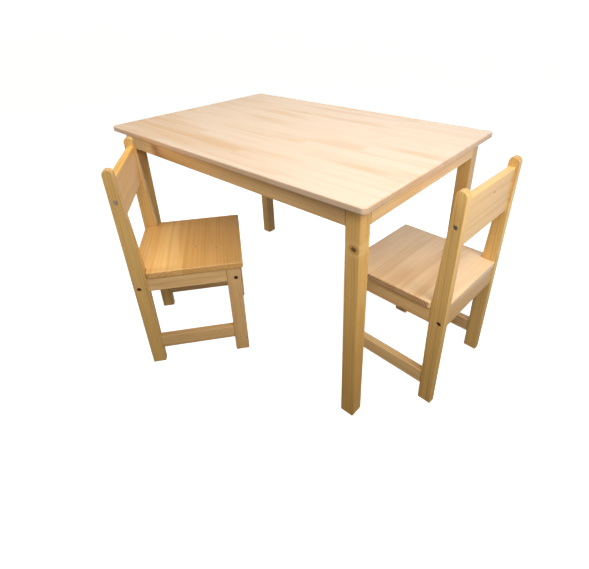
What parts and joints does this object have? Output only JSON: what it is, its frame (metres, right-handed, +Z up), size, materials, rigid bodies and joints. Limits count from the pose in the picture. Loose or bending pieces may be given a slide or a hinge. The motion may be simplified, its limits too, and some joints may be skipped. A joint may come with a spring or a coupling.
{
  "type": "kids table and chairs",
  "caption": "Low rectangular pine table with a framed top on square legs, and matching small chairs with round-topped posts, board seats and board backs.",
  "frame": {"origin": "middle of the whole set's footprint (table and chairs as they stand), on the floor", "axes": "+X along the table's long side, towards the chair at its short end; +Y across the table, away from the chair at its long side; +Z up"},
  "size_m": [1.021, 0.7968, 0.575],
  "materials": {
    "top_pine": "clear satin lacquer over edge-glued pale pine",
    "frame_pine": "clear satin lacquer over honey pine",
    "seat_pine": "clear satin lacquer over edge-glued pine",
    "block_pine": "bare sawn pine",
    "black_steel": "blackened steel, satin",
    "zinc_steel": "bright zinc plate"
  },
  "bodies": {
    "table": {"table_top": "top_pine", "table_apron_front": "frame_pine", "table_apron_back": "frame_pine", "table_apron_left": "frame_pine", "table_apron_right": "frame_pine", "table_leg_front_left": "frame_pine", "corner_block_front_left": "block_pine", "hanger_bolt_front_left": "zinc_steel", "hanger_nut_front_left": "zinc_steel", "table_leg_front_right": "frame_pine", "corner_block_front_right": "block_pine", "hanger_bolt_front_right": "zinc_steel", "hanger_nut_front_right": "zinc_steel", "table_leg_back_left": "frame_pine", "corner_block_back_left": "block_pine", "hanger_bolt_back_left": "zinc_steel", "hanger_nut_back_left": "zinc_steel", "table_leg_back_right": "frame_pine", "corner_block_back_right": "block_pine", "hanger_bolt_back_right": "zinc_steel", "hanger_nut_back_right": "zinc_steel"},
    "chair_left": {"chair_left_seat": "seat_pine", "chair_left_backrest": "seat_pine", "chair_left_front_rail": "frame_pine", "chair_left_back_rail": "frame_pine", "chair_left_back_post_left": "frame_pine", "chair_left_front_leg_left": "frame_pine", "chair_left_seat_rail_left": "frame_pine", "chair_left_stretcher_left": "frame_pine", "chair_left_front_rail_bolt_left": "black_steel", "chair_left_back_rail_bolt_left": "black_steel", "chair_left_backrest_screw_left": "black_steel", "chair_left_back_post_right": "frame_pine", "chair_left_front_leg_right": "frame_pine", "chair_left_seat_rail_right": "frame_pine", "chair_left_stretcher_right": "frame_pine", "chair_left_front_rail_bolt_right": "black_steel", "chair_left_back_rail_bolt_right": "black_steel", "chair_left_backrest_screw_right": "black_steel"},
    "chair_right": {"chair_right_seat": "seat_pine", "chair_right_backrest": "seat_pine", "chair_right_front_rail": "frame_pine", "chair_right_back_rail": "frame_pine", "chair_right_back_post_left": "frame_pine", "chair_right_front_leg_left": "frame_pine", "chair_right_seat_rail_left": "frame_pine", "chair_right_stretcher_left": "frame_pine", "chair_right_front_rail_bolt_left": "black_steel", "chair_right_back_rail_bolt_left": "black_steel", "chair_right_backrest_screw_left": "black_steel", "chair_right_back_post_right": "frame_pine", "chair_right_front_leg_right": "frame_pine", "chair_right_seat_rail_right": "frame_pine", "chair_right_stretcher_right": "frame_pine", "chair_right_front_rail_bolt_right": "black_steel", "chair_right_back_rail_bolt_right": "black_steel", "chair_right_backrest_screw_right": "black_steel"}
  },
  "joints": [
    {"name": "chair_left_slide", "type": "slide", "parent": "table", "child": "chair_left", "axis": [0.6157, 0.788, 0], "range_m": [-0.3, 0.012]},
    {"name": "chair_right_slide", "type": "slide", "parent": "table", "child": "chair_right", "axis": [-0.9984, 0.0558, 0], "range_m": [-0.3, 0.075]}
  ]
}
